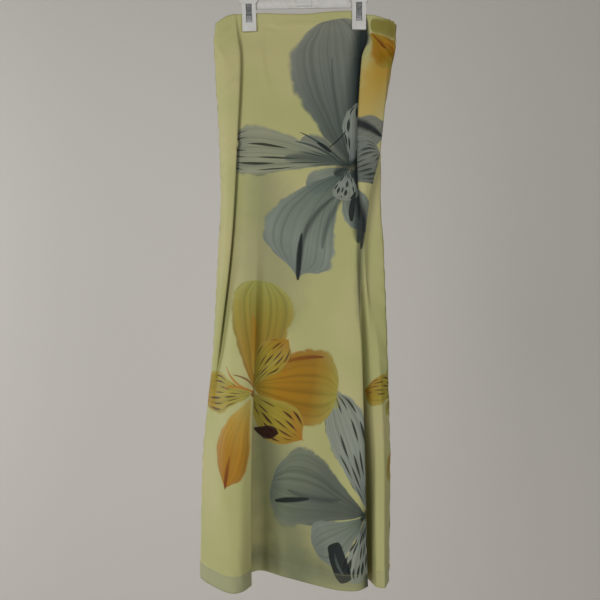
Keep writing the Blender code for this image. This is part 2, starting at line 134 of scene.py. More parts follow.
# Creases in millimetres on the flat cloth: name, start (across, drop), end
# (across, drop), bow to the side, half width, height (below 0 for a trough)
FRONT_CREASES = (
    ("valley_beside_tube", -90, 300, -84, 495, 0, 12, -1.2),
    ("tube_ridge_low", -176, 830, -165, 955, 0, 8, 1.0),
    ("left_clip_drag", -84, 14, -56, 150, -4, 10, 1.5),
    ("left_clip_fold", -74, 24, -44, 30, 2, 6, -1.8),
    ("right_clip_drag", 76, 14, 58, 170, 4, 11, 1.3),
    ("waist_slack", -58, 24, 60, 26, 6, 9, 1.6),
    ("corner_fold_across", 124, 30, 176, 34, -2, 6, -2.4),
    ("corner_fold_down", 134, 44, 150, 98, -6, 8, 2.6),
    ("corner_pinch", 118, 30, 150, 52, 2, 6, -2.4),
    ("corner_pinch_branch", 138, 36, 166, 28, 1, 5, -2.0),
    ("left_fork_upper", -134, 22, -170, 52, 0, 5, 3.4),
    ("left_fork_lower", -166, 44, -176, 92, 2, 5, 3.2),
    ("left_side_fold", -152, 112, -190, 142, 0, 5.5, 3.2),
    ("left_side_fold_two", -158, 218, -192, 250, 0, 5.5, 2.8),
    ("long_soft_fold", 20, 200, 36, 660, 10, 24, 1.0),
    ("low_soft_fold", -20, 700, 10, 950, -8, 26, -1.0),
    ("hem_ripple_one", -20, 890, -12, 985, 3, 15, 1.3),
    ("hem_ripple_two", 66, 904, 76, 985, -3, 14, -1.2),
    ("hem_ripple_three", -216, 890, -206, 985, 2, 12, 1.1),
)
BACK_CREASES = (
    ("clip_drag_one", -92, 14, -66, 150, 4, 10, 1.1),
    ("clip_drag_two", 88, 14, 70, 160, -4, 11, 1.0),
    ("waist_slack", -56, 26, 60, 32, 6, 9, 0.8),
    ("corner_fold_one", -168, 34, -204, 40, 2, 4, -1.2),
    ("corner_fold_two", 164, 30, 196, 44, -2, 5, 1.2),
    ("side_fold_one", -170, 150, -200, 172, 0, 6, 1.0),
    ("side_fold_two", 166, 190, 196, 214, 0, 6, 0.9),
    ("long_soft_fold", -14, 220, 20, 700, -9, 24, 1.0),
    ("low_soft_fold", 50, 640, 30, 930, 8, 24, -1.1),
    ("hem_ripple_one", -60, 890, -50, 985, 3, 15, 1.2),
    ("hem_ripple_two", 90, 900, 82, 985, -3, 14, -1.2),
)
CREASE_RUNOUT = 0.1

# Slack all over the cloth, puckers along its side seams and waves above its hem: heights,
# reaches and wave lengths in millimetres, noise scales for each millimetre
SLACK = 0.9
SLACK_SCALE = (0.018, 0.006)
SLACK_START = 120
SEAM_REACH = 26
SEAM_PUCKER = 1.1
SEAM_WAVE = 6.1
SEAM_WANDER = 3.1
SEAM_WANDER_LENGTH = 41
SEAM_SLANT = 9
SEAM_UNEVEN_SCALE = 0.02
SEAM_TURNS = (0.0, 2.4)
HEM_REACH = 42
HEM_PUCKER = 1.3
HEM_WAVE_HEIGHT = 20
HEM_SCALE = (0.085, 0.02)
HEM_SEED_STEP = 7
HEM_RISE = 0.35
FRONT_SEED = 1.0
BACK_SEED = 5.0

# The print: ordinary lily blooms on the flat cloth, in millimetres. Petals are placed one
# by one and drawn by formula. A petal's shape is its half width, as a share of the widest,
# from its base to its tip
PETAL_SHAPES = {
    "broad": ((0, 0), (0.12, 0.2), (0.35, 0.52), (0.58, 0.86), (0.78, 1), (0.93, 0.68), (1, 0)),
    "fan": ((0, 0), (0.12, 0.3), (0.35, 0.68), (0.6, 0.97), (0.78, 1), (0.92, 0.72), (1, 0)),
    "spiked": ((0, 0), (0.12, 0.28), (0.35, 0.62), (0.6, 0.94), (0.76, 1), (0.87, 0.72),
               (0.94, 0.22), (1, 0)),
    "pointed": ((0, 0), (0.12, 0.26), (0.38, 0.7), (0.62, 1), (0.8, 0.84), (0.93, 0.34), (1, 0)),
    "strap": ((0, 0), (0.1, 0.5), (0.35, 0.86), (0.62, 1), (0.86, 0.74), (1, 0)),
    "slab": ((0, 0), (0.05, 0.8), (0.5, 1), (0.94, 0.74), (1, 0)),
    "line": ((0, 0), (0.15, 0.8), (0.5, 1), (0.85, 0.7), (1, 0)),
}
# Colours from a petal's base to its tip, as (place, colour) stops
TONES = {
    "slate": ((0, (0.03, 0.042, 0.04)), (0.3, (0.085, 0.108, 0.1)),
              (0.7, (0.15, 0.17, 0.155)), (1, (0.19, 0.2, 0.17))),
    "teal": ((0, (0.055, 0.075, 0.066)), (0.3, (0.14, 0.175, 0.15)),
             (0.7, (0.205, 0.24, 0.205)), (1, (0.17, 0.2, 0.18))),
    "pale": ((0, (0.13, 0.16, 0.13)), (0.35, (0.23, 0.25, 0.18)),
             (0.7, (0.28, 0.29, 0.2)), (1, (0.2, 0.22, 0.18))),
    "ice": ((0, (0.14, 0.17, 0.16)), (0.5, (0.26, 0.29, 0.25)), (1, (0.25, 0.27, 0.22))),
    "moss": ((0, (0.05, 0.066, 0.06)), (0.5, (0.11, 0.13, 0.112)),
             (0.85, (0.16, 0.19, 0.13)), (1, (0.14, 0.17, 0.14))),
    "gold": ((0, (0.34, 0.24, 0.02)), (0.35, (0.36, 0.17, 0.005)),
             (0.7, (0.3, 0.15, 0.004)), (1, (0.34, 0.3, 0.05))),
    "amber": ((0, (0.34, 0.17, 0.01)), (0.4, (0.3, 0.19, 0.015)),
              (0.75, (0.3, 0.25, 0.035)), (1, (0.33, 0.33, 0.08))),
    "lemon": ((0, (0.36, 0.31, 0.05)), (0.6, (0.35, 0.27, 0.03)), (1, (0.36, 0.17, 0.01))),
    "flame": ((0, (0.45, 0.38, 0.1)), (0.3, (0.45, 0.27, 0.035)),
              (0.6, (0.4, 0.19, 0.01)), (1, (0.36, 0.15, 0.006))),
    "glow": ((0, (0.36, 0.19, 0.01)), (0.4, (0.42, 0.26, 0.035)), (1, (0.46, 0.38, 0.13))),
    "olive": ((0, (0.16, 0.1, 0.008)), (1, (0.2, 0.18, 0.03))),
    # Dark ink of the print's lines, also used as painted shadow in the slit beside the right flap
    "ink_and_painted_shadow": ((0, (0.012, 0.018, 0.018)), (1, (0.01, 0.014, 0.015))),
    # Dark print at the lily hearts, also used as painted shade down the slits beside the right flap
    "smoke": ((0, (0.016, 0.024, 0.023)), (1, (0.02, 0.03, 0.027))),
    # Painted shade on a greyer ground, for the lower middle of the front that the left tube shades
    "painted_shade_haze": ((0, (0.19, 0.205, 0.115)), (1, (0.16, 0.18, 0.11))),
    # Painted shade: a soft darkening of the ground left of the slate lily
    "painted_shade_mist": ((0, (0.19, 0.2, 0.13)), (1, (0.2, 0.21, 0.12))),
    "shade": ((0, (0.04, 0.055, 0.05)), (1, (0.045, 0.065, 0.06))),
    "rust": ((0, (0.25, 0.09, 0.008)), (1, (0.13, 0.025, 0.006))),
    "wine": ((0, (0.03, 0.006, 0.008)), (1, (0.025, 0.005, 0.006))),
    "cord": ((0, (0.42, 0.2, 0.03)), (1, (0.36, 0.15, 0.02))),
}
# Dashes along a petal: lanes across it, dashes along it, length share, thickness share,
# where along the petal they start and end, colour
STREAKS = {
    "long": (8, 2.4, 0.86, 0.28, 0.1, 0.97, (0.01, 0.015, 0.015)),
    "short": (7, 3.6, 0.84, 0.5, 0.08, 0.96, (0.012, 0.018, 0.018)),
    "tall": (6, 3.8, 0.86, 0.28, 0.05, 0.96, (0.012, 0.018, 0.018)),
    "bars": (11, 2.6, 0.85, 0.3, 0.12, 0.98, (0.025, 0.036, 0.034)),
    "warm": (8, 3.0, 0.8, 0.28, 0.08, 0.92, (0.05, 0.012, 0.01)),
    "fine": (8, 3.0, 0.82, 0.26, 0.08, 0.94, (0.06, 0.03, 0.015)),
}
# Petals in the order they are laid: name, base (across, drop) from the bloom's centre,
# tip (across, drop), half width, bow to the side, shape, tones, softness, strength, streaks
# The rows listed in SHADE_ROWS are painted shade, not print
BLOOMS = {
    "slate_lily": (
        # Painted shade, not print: a wide soft darkening of the ground left of this lily
        ("painted_shade_mist", -150, -30, -110, 290, 96, 0, "strap", "painted_shade_mist", 1.0, 0.5, None),
        ("right_low", 6, 0, 38, 112, 34, 4, "pointed", "teal", 0.12, 0.96, None),
        ("right_up", 6, -6, 124, -78, 32, -6, "pointed", "slate", 0.15, 0.92, None),
        ("right_band", 26, -84, 114, -54, 12, -6, "line", "ink_and_painted_shadow", 0.8, 0.95, None),
        ("right", 4, 14, 112, -24, 42, 0, "fan", "slate", 0.12, 0.96, "bars"),
        ("upper", 6, -6, -32, -254, 80, -10, "fan", "slate", 0.16, 0.95, None),
        ("upper_fold", 8, -30, 12, -190, 26, 6, "line", "shade", 1.0, 0.6, None),
        ("upper_fold_two", -4, -30, -30, -190, 5, -6, "line", "shade", 0.9, 0.45, None),
        ("root_up", 6, -4, -84, -44, 26, 0, "fan", "slate", 0.3, 0.9, None),
        ("root_low", 4, 2, -70, 34, 24, 0, "fan", "teal", 0.3, 0.9, None),
        ("left", -2, -6, -216, -30, 46, 6, "broad", "pale", 0.14, 0.94, "long"),
        ("left_root", -4, -6, -110, -16, 17, 4, "line", "shade", 1.0, 0.75, "bars"),
        ("lower", 4, 8, -80, 190, 70, 34, "spiked", "teal", 0.1, 0.95, None),
        ("lower_vein", -22, 50, -76, 176, 9, 20, "line", "ink_and_painted_shadow", 1.0, 0.6, None),
        ("lower_vein_two", 2, 40, -40, 140, 9, 10, "line", "shade", 1.0, 0.6, None),
        ("lower_tip", -76, 112, -80, 193, 7, 1, "strap", "ink_and_painted_shadow", 0.6, 0.95, None),
        # Painted shade, over the lily's darker print: the dark down the slit where the right flap
        # folds over
        ("smoke", 19, -262, 22, 130, 33, 2, "line", "smoke", 1.0, 0.98, None),
        # Painted shade further down the same slit
        ("painted_shade_low", 26, 90, 40, 300, 20, 2, "strap", "shade", 1.0, 0.6, None),
        ("small_up", 4, -4, 14, -112, 24, 3, "pointed", "ice", 0.12, 0.9, "short"),
        ("small_low", 0, 2, -6, 56, 24, -2, "broad", "ice", 0.12, 0.92, "short"),
        # Painted shadow: a near-black line down the slit where the right flap folds over
        ("painted_slit_shadow", 27, -262, 30, 140, 17, 2, "line", "ink_and_painted_shadow", 1.0, 0.98, None),
        ("stem", 14, 40, 8, 92, 6, 2, "strap", "ink_and_painted_shadow", 0.2, 0.95, None),
        ("filament", -2, -2, -84, -60, 2.2, 5, "line", "shade", 0.3, 0.95, None),
        ("filament_two", -6, 0, -92, -44, 2.4, 8, "line", "shade", 0.3, 0.9, None),
        ("anther", -30, -26, -54, -42, 4, 1, "line", "ink_and_painted_shadow", 0.3, 0.95, None),
        ("filament_three", -34, -34, -4, -64, 1.4, 2, "line", "ink_and_painted_shadow", 0.2, 0.95, None),
        ("heart", 20, -14, -24, 12, 17, 0, "strap", "smoke", 1.0, 0.92, None),
    ),
    "gold_lily": (
        ("upper", -2, -8, 20, -188, 62, 6, "fan", "amber", 0.12, 0.94, None),
        ("upper_vein", 0, -30, 2, -130, 12, 3, "line", "flame", 1.0, 0.6, None),
        ("right", 8, -10, 160, 4, 70, -6, "fan", "gold", 0.1, 0.96, None),
        ("right_edge_light", 120, -62, 162, 30, 22, 0, "strap", "amber", 1.0, 0.6, None),
        ("right_spike", 56, -46, 132, -58, 6, -4, "line", "rust", 0.8, 0.85, None),
        ("left", -8, 2, -130, 8, 38, 4, "pointed", "lemon", 0.14, 0.92, "fine"),
        ("lower", -10, 8, -84, 158, 36, 8, "pointed", "flame", 0.12, 0.95, None),
        ("lower_tip", -66, 104, -85, 160, 5, 1, "strap", "rust", 0.6, 0.9, None),
        ("right_low", 2, 2, 106, 86, 40, 4, "pointed", "lemon", 0.1, 0.96, "warm"),
        ("right_edge", 84, 34, 108, 88, 6, 3, "line", "cord", 0.8, 0.6, None),
        ("right_up", 2, -4, 70, -88, 32, -4, "pointed", "lemon", 0.14, 0.9, "warm"),
        ("stem", 16, 64, 64, 76, 13, 3, "pointed", "wine", 0.12, 0.96, None),
        ("filament", 0, 0, -56, -44, 2.4, -8, "line", "cord", 0.3, 0.9, None),
        ("filament_two", -2, 2, -64, -6, 2.4, 8, "line", "cord", 0.3, 0.9, None),
        ("filament_three", 0, 4, -40, -30, 2.2, 10, "line", "rust", 0.3, 0.8, None),
        ("heart", 4, -4, -10, 6, 9, 0, "strap", "rust", 0.8, 0.8, None),
    ),
    "grey_lily": (
        # The next two petals are painted shade on a greyer print ground: the lower middle of the
        # front, where the left tube shades it
        ("painted_shade_haze", -200, -170, -120, 150, 96, 0, "strap", "painted_shade_haze", 1.0, 0.8, None),
        ("painted_shade_haze_low", -230, 96, 20, 104, 50, 0, "slab", "painted_shade_haze", 1.0, 0.8, None),
        ("left", -4, 2, -180, -40, 76, 8, "broad", "moss", 0.1, 0.95, None),
        ("left_fold", -50, -24, -150, -30, 9, -8, "line", "shade", 1.0, 0.6, None),
        ("left_tip", -108, -18, -174, -8, 7, 0, "strap", "ink_and_painted_shadow", 0.6, 0.95, None),
        ("left_low", -4, 4, -94, 66, 42, -4, "broad", "teal", 0.12, 0.92, None),
        # Painted shadow down the slit beside the right flap, over the lily's dark print
        ("slit_smoke", 12, -190, 14, 150, 32, 0, "strap", "smoke", 1.0, 0.96, None),
        ("upper", 0, -4, -84, -212, 38, 6, "pointed", "ice", 0.1, 0.95, "tall"),
        ("lower", 0, 4, -14, 114, 30, 0, "broad", "ice", 0.12, 0.95, "short"),
        ("stem", -58, 50, -30, 112, 16, 2, "slab", "ink_and_painted_shadow", 0.14, 0.96, None),
        ("stem_light", -54, 66, -36, 100, 4, 3, "line", "teal", 1.0, 0.4, None),
        ("heart", 8, -8, -12, 10, 12, 0, "strap", "smoke", 0.9, 0.9, None),
    ),
    "corner_lily": (
        ("glow", 0, -24, -36, 150, 62, 0, "strap", "glow", 0.9, 0.95, None),
        ("up", 24, -50, -68, -42, 22, 0, "slab", "olive", 0.5, 0.9, None),
        ("low", -70, -28, 14, 14, 31, 0, "fan", "gold", 0.3, 0.96, None),
        ("low_edge", -66, -30, -30, -6, 4, 3, "line", "rust", 0.9, 0.9, None),
        ("low_vein", -40, -16, 6, 10, 4, -4, "line", "rust", 1.0, 0.6, None),
    ),
    "side_lily": (
        ("up", 0, 0, -30, -50, 20, 0, "pointed", "amber", 0.15, 0.85, None),
        ("low", 0, 2, -14, 42, 14, 0, "pointed", "amber", 0.15, 0.8, None),
        ("left", 6, 0, -72, -3, 28, 2, "pointed", "lemon", 0.12, 0.95, "fine"),
    ),
    "bud": (
        ("outer", 0, -24, 6, 26, 10, 3, "strap", "amber", 0.3, 0.85, None),
    ),
}
# Petals of painted shade, not print, that darken the ground and the folds beside a bloom where the
# cloth's folds shade it, left out on the back
SHADE_ROWS = ("painted_shade_mist", "smoke", "painted_shade_low", "painted_slit_shadow", "slit_smoke", "painted_shade_haze", "painted_shade_haze_low")
# Where the blooms lie on each panel: bloom, centre (across, drop), turn in degrees, flip
FRONT_BLOOMS = (
    ("corner_lily", 182, 62, 0, 1),
    ("slate_lily", 78, 268, 0, 1),
    ("side_lily", 244, 653, 0, 1),
    ("bud", 262, 784, 0, 1),
    ("grey_lily", 150, 855, 0, 1),
    ("gold_lily", -84, 650, 0, 1),
)
BACK_BLOOMS = (
    ("gold_lily", 60, 250, 150, 1),
    ("slate_lily", -70, 560, 20, -1),
    ("grey_lily", 150, 800, -35, 1),
    ("side_lily", -190, 180, 30, 1),
    ("bud", -200, 820, 20, 1),
)
# Each petal in turn takes the next seed
SEED_START = -0.7
SEED_STEP = 1.7

# How petals and dashes are drawn. Here and below a range is the two values that it eases
# between, then what they turn into if not 0 and 1
EDGE_WOBBLE = 0.34
TIP_CUT = 0.012
LEAST_WIDTH = 0.01
VEINED_SHAPES = ("broad", "fan", "spiked", "pointed")
VEINS_ACROSS = 5.5
VEINS_ALONG = 0.9
VEIN_DETAIL = 4.0
VEIN_ROUGHNESS = 0.65
VEIN_RANGE = (0.38, 0.7, 0.0, 0.5)
VEIN_TINT = (0.42, 0.48, 0.48, 1.0)
RIM_RANGE = (0.5, 1.0, 0.0, 0.05)
RIM_TINT = (0.5, 0.5, 0.4, 1.0)
DASH_STRENGTH = 0.96
DASH_SHIFT = 7.0
DASH_SPREAD = 0.6
DASH_EDGE = 0.07
DASH_FADE = 0.06
DASH_GAPS = 0.24
LANE_SEED = 7.31
DASH_SEED = 1.71
DASH_LANE_SEED = 3.17

# The cloth under the print. Here and below a noise is (scale, detail, roughness), the
# last left out where it is the usual one
WOBBLE_NOISE = (38.0, 3.0, 0.5)
GROUND_NOISE = (8.0, 1.0)
GROUND_RANGE = (0.38, 0.66)
GROUND_GREEN = (0.41, 0.41, 0.175, 1.0)
GROUND_CREAM = (0.46, 0.43, 0.205, 1.0)
GROUND_INSIDE = (0.42, 0.42, 0.26, 1.0)
THREAD_SHADE = (0.7, 0.7, 0.62, 1.0)
INSIDE_FADE = 0.6
# Painted shade on the turned-up hem, strongest on the left tube, where less light comes through the
# doubled cloth
HEM_PAINTED_SHADE = (0.3, 0.31, 0.21, 1.0)
HEM_EDGE = 1.0
# Range across for the painted hem shade, from faint at the middle to strong on the left tube
HEM_SHADE_RANGE = (-100, -118, 0.12, 0.6)
THREAD_NOISE = (1500.0, 2.0, 0.7)
THREAD_RANGE = (0.3, 0.75, 0.0, 0.16)
CREPE_NOISE = (850.0, 3.0, 0.6)
CREPE_BUMP = {"Strength": 0.18, "Distance": 0.0004}
CLOTH_ROUGHNESS_RANGE = (0.2, 0.8, 0.42, 0.56)
CLOTH_SHEEN = 0.03
CLOTH_SHEEN_ROUGHNESS = 0.4
CLOTH_SPECULAR = 0.12
UV_MIDDLE = 0.5
UV_TOP = 1.0

# Sewing along the turned-up hem
STITCH_DROP = SKIRT_LENGTH - HEM_DEPTH + 3 * MM
STITCH_STEP = 3.2 * MM
STITCH_SHARE = 0.72
STITCH_RADIUS = 0.3 * MM
STITCH_LIFT = 0.12 * MM
SPINDLE_SHOULDERS = (0.2, 0.8)
SPINDLE_SIDES = 4

# The ribs across each spring strip: spacing, radius, how far they stop short of its
# sides, the share of its height that they fill, where the first one is in spacings, and
# how many of the strip's nearest points give a rib's depth
RIB_SPACING = 2.4 * MM
RIB_RADIUS = 0.5 * MM
RIB_INSET = 0.5 * MM
RIB_SHARE = 0.78
RIB_START = 0.75
ARM_POINTS = 4

# Looks of the hanger, the springs and the thread
EDGE_ROUNDING = 0.5 * MM
ROUNDING_SEGMENTS = 2
PLASTIC_WHITE = (0.6, 0.6, 0.58, 1.0)
PLASTIC_WARM = (0.54, 0.53, 0.5, 1.0)
PLASTIC_CLOUDS = (60.0, 3.0)
PLASTIC_CLOUD_RANGE = (0.35, 0.7)
PLASTIC_GRAIN = (900.0, 2.0)
PLASTIC_BUMP = {"Strength": 0.12, "Distance": 0.0002}
PLASTIC_ROUGHNESS_RANGE = (0.3, 0.7, 0.3, 0.42)
PLASTIC_SUBSURFACE = 0.1
PLASTIC_SUBSURFACE_SCALE = 0.002
STEEL_DARK = (0.2, 0.21, 0.21, 1.0)
STEEL_LIGHT = (0.42, 0.43, 0.43, 1.0)
STEEL_STRETCH = (8.0, 8.0, 400.0)
STEEL_NOISE = (6.0, 3.0)
STEEL_RANGE = (0.3, 0.7)
STEEL_ROUGHNESS_RANGE = (0.3, 0.7, 0.34, 0.5)
STEEL_METALLIC = 0.8
THREAD_DARK = (0.26, 0.26, 0.13, 1.0)
THREAD_LIGHT = (0.4, 0.39, 0.2, 1.0)
THREAD_TWIST = (2600.0, 2.0)
THREAD_ROUGHNESS = 0.6

# Camera, stage and lights, in metres. The camera stands level, straight in front
CAMERA_PLACE = (-0.0052, -1.3, -0.6065)
CAMERA_LENS = 45.06
CAMERA_SENSOR = 36
ROOM_SIDE = 8
WALL_PLACE = 2.6
WALL_TOP = 5
FLOOR_HEIGHT = -3.2
FLOOR_FRONT = -6
WALL_COLOUR = (0.85, 0.815, 0.76, 1.0)
WALL_ROUGHNESS = 0.9
WORLD_COLOUR = (0.8, 0.8, 0.82, 1)
WORLD_STRENGTH = 0.15
# Each light: name, place, what it faces, its width and height, power in watts, colour
LIGHTS = (
    ("window", (-1.5, -2.4, -0.45), (0, 0, -0.65), (1.3, 1.8), 41, (1.0, 0.99, 0.97)),
    ("fill", (1.5, -2.6, -0.4), (0, 0, -0.7), (1.6, 2.0), 30, (1.0, 0.99, 0.97)),
    ("wall_wash", (-3.4, 0.9, -0.4), (0.4, 2.6, -0.6), (1.2, 3.0), 29, (0.98, 0.99, 1.0)),
    ("edge", (-1.7, 0.35, -0.6), (-0.1, 0.0, -0.6), (0.3, 1.6), 7, (1.0, 1.0, 1.0)),
)


def along_stations(values, drop):
    """Smooth value at a drop, through one value for each station, with no overshoot."""
    last = len(STATIONS) - 1
    span = next((i for i in range(last) if drop <= STATIONS[i + 1]), last - 1)

    def rate(i):
        return (values[i + 1] - values[i]) / (STATIONS[i + 1] - STATIONS[i])

    def slope(i):
        if i in (0, last):
            return rate(max(i - 1, 0))
        before, after = rate(i - 1), rate(i)
        return 2 * before * after / (before + after) if before * after > 0 else 0.0

    width = STATIONS[span + 1] - STATIONS[span]
    t = (drop - STATIONS[span]) / width
    rise = values[span + 1] - values[span]
    start, end = slope(span) * width, slope(span + 1) * width
    curve = (start + end - 2 * rise) * t + (3 * rise - 2 * start - end)
    return values[span] + (curve * t + start) * t


def fold_lines():
    """Every fold line round the tube: name, waist lift, sharp or not, and its points."""
    lines = [(name, lift, sharp, points) for name, lift, sharp, *points in FRONT_FOLDS]
    left, right = lines[0][-1], lines[-1][-1]
    for name, share, swing, shift, lift, clamped in BACK_FOLDS:
        points = []
        for i in range(len(STATIONS)):
            across = right[i][0] + share * (left[i][0] - right[i][0]) + shift * BACK_SHIFT[i]
            depth = BACK_DEPTH[i] + swing * BACK_SWING[i]
            if clamped and i < CLAMPED_STATIONS:
                depth = CLAMPED_DEPTH
            points.append((across, depth))
        lines.append((name, lift, shift != 0, points))
    return lines


def ring_parts(lines):
    """The ring's points as (fold line, side): a sharp fold has three, round its tip."""
    parts = []
    for i, line in enumerate(lines):
        parts += [(i, side) for side in ((-1, 0, 1) if line[2] else (0,))]
    return parts


def fold_points(lines, drop):
    """The ring's points at one drop, as (across, depth, height)."""
    fade = max(0.0, 1 - drop / LIFT_FADE) ** 2
    tips = []
    for _name, lift, _sharp, points in lines:
        across = along_stations([point[0] for point in points], drop)
        depth = along_stations([point[1] for point in points], drop)
        height = WAIST_HEIGHT - drop + lift * MM * fade
        tips.append(Vector((across * MM, depth * MM, height)))
    made = []
    for i, side in ring_parts(lines):
        tip, before, after = tips[i], tips[i - 1] - tips[i], tips[(i + 1) % len(tips)] - tips[i]
        if side != 0:
            radius = min(FOLD_RADIUS, before.length * FOLD_SHARE, after.length * FOLD_SHARE)
            before.z = after.z = 0.0
            apart = (before.normalized() - after.normalized()).normalized()
            inwards = before.normalized() + after.normalized()
            tip = tip + radius * (inwards / 2 - side * apart)
        made.append(tip)
    return made


def curve_point(ring, span, t):
    """Place on the smooth closed curve through a ring of fold points."""
    count = len(ring)
    p = [ring[(span + step) % count] for step in (-1, 0, 1, 2)]
    knots = [0.0]
    for start, end in zip(p, p[1:]):
        knots.append(knots[-1] + max((end - start).length, MM) ** 0.5)
    at = knots[1] + t * (knots[2] - knots[1])

    def blend(a, b, i, j):
        return a + (b - a) * ((at - knots[i]) / (knots[j] - knots[i]))

    a = [blend(p[i], p[i + 1], i, i + 1) for i in range(3)]
    b = [blend(a[i], a[i + 1], i, i + 2) for i in range(2)]
    return blend(b[0], b[1], 1, 2)


def softened(points):
    """A closed line with its tight bends eased, as cloth eases a crease."""
    count = len(points)
    steps = [(points[(i + 1) % count] - points[i]).length for i in range(count)]
    made = []
    for i in range(count):
        total, weights = points[i].copy(), 1.0
        for direction in (1, -1):
            j, distance = i, 0.0
            while True:
                distance += steps[j % count] if direction == 1 else steps[(j - 1) % count]
                j += direction
                if distance > 2 * SOFTENING:
                    break
                weight = math.exp(-((distance / SOFTENING) ** 2))
                total += points[j % count] * weight
                weights += weight
        made.append(total / weights)
    return made


def panel_columns(lines, first, last):
    """Places on the fine curve that carry a panel's columns, closer where it is wide."""
    parts = ring_parts(lines)
    start, end = (parts.index((fold % len(lines), 0)) for fold in (first, last))
    if end < start:
        end += len(parts)
    rings = [fold_points(lines, drop) for drop in COLUMN_DROPS]
    places = []
    for i in range(start, end):
        here, there = i % len(parts), (i + 1) % len(parts)
        width = max((ring[there] - ring[here]).length for ring in rings)
        count = max(1, min(FINE_STEPS, round(width / COLUMN_WIDTH)))
        places += [i * FINE_STEPS + round(FINE_STEPS * step / count) for step in range(count)]
    return places + [end * FINE_STEPS]


def section(lines, drop, places, middle):
    """A row of the cloth: (place, outward normal, flat distance from the middle fold)."""
    ring = fold_points(lines, drop)
    curve = softened([
        curve_point(ring, span, step / FINE_STEPS)
        for span in range(len(ring))
        for step in range(FINE_STEPS)
    ])
    count = len(curve)
    lengths = [0.0]
    for i in range(places[0], places[-1]):
        lengths.append(lengths[-1] + (curve[(i + 1) % count] - curve[i % count]).length)
    origin = lengths[middle - places[0]]
    made = []
    for i in places:
        heading = curve[(i + 1) % count] - curve[(i - 1) % count]
        heading.z = 0.0
        heading.normalize()
        place = curve[i % count].copy()
        if i in (places[0], places[-1]):
            place += heading * SEAM_GAP / 2 * (1 if i == places[0] else -1)
        across = lengths[i - places[0]] - origin
        made.append((place, Vector((heading.y, -heading.x, 0.0)), across))
    return made


def row_drops():
    count = round(SKIRT_LENGTH / ROW_HEIGHT)
    drops = [SKIRT_LENGTH * row / count for row in range(count + 1)]
    hem_top = SKIRT_LENGTH - HEM_DEPTH
    return sorted([drop for drop in drops if abs(drop - hem_top) > HEM_STEP] +
                  [hem_top - HEM_STEP / 2, hem_top + HEM_STEP / 2])


def cloth_panel(name, lines, first, last, middle, relief, look):
    """A fine shell for one cloth panel, its flat sizes kept as texture coordinates."""
    places = panel_columns(lines, first, last)
    middle_place = ring_parts(lines).index((middle, 0)) * FINE_STEPS
    rows = [section(lines, drop, places, middle_place) for drop in row_drops()]
    drops = row_drops()
    count = len(places)
    shape = bmesh.new()
    flat = shape.loops.layers.uv.new("flat_cloth")
    inside = shape.faces.layers.float.new("inside")
    layers = []
    for side in (1, -1):
        grid = []
        for row, drop in zip(rows, drops):
            ends = row[0][2], row[-1][2]
            line = []
            for place, normal, across in row:
                rise = relief(across / MM, drop / MM, ends[0] / MM, ends[1] / MM) * MM
                point = place + normal * (rise + side * SHEET_THICKNESS / 2)
                line.append(shape.verts.new(point))
            grid.append(line)
        layers.append(grid)

    def face(corners, within=0.0):
        made = shape.faces.new([layers[layer][row][column] for layer, row, column in corners])
        made.smooth = True
        made[inside] = within
        for loop, (_layer, row, column) in zip(made.loops, corners):
            loop[flat].uv = (UV_MIDDLE + rows[row][column][2], UV_TOP - drops[row])

    for row in range(len(rows) - 1):
        for column in range(count - 1):
            square = [(row, column), (row + 1, column), (row + 1, column + 1), (row, column + 1)]
            face([(0, *corner) for corner in square])
            face([(1, *corner) for corner in reversed(square)], 1.0)
    for column in range(count - 1):
        for row, order in ((0, 1), (len(rows) - 1, -1)):
            edge = [(0, row, column), (0, row, column + 1), (1, row, column + 1), (1, row, column)]
            face(edge[::order])
    for row in range(len(rows) - 1):
        for column, order in ((0, -1), (count - 1, 1)):
            edge = [(0, row, column), (0, row + 1, column), (1, row + 1, column), (1, row, column)]
            face(edge[::order])
    return new_piece(name, shape, look), count


def soft_bump(distance):
    """1 at the middle, easing to 0 at a distance of 1."""
    return (1 - distance * distance) ** 2 if distance < 1 else 0.0


def creases(table, across, drop):
    """Height of the listed creases at a flat place, in millimetres."""
    height = 0.0
    for _name, x0, y0, x1, y1, bow, half_width, lift in table:
        dx, dy = x1 - x0, y1 - y0
        length = math.hypot(dx, dy)
        t = ((across - x0) * dx + (drop - y0) * dy) / length ** 2
        if not -CREASE_RUNOUT < t < 1 + CREASE_RUNOUT:
            continue
        aside = ((across - x0) * dy - (drop - y0) * dx) / length
        aside -= bow * 4 * t * (1 - t)
        if abs(aside) >= half_width:
            continue
        fade = soft_bump(abs(2 * t - 1) / (1 + CREASE_RUNOUT)) ** 0.5
        height += lift * soft_bump(abs(aside) / half_width) * fade
    return height


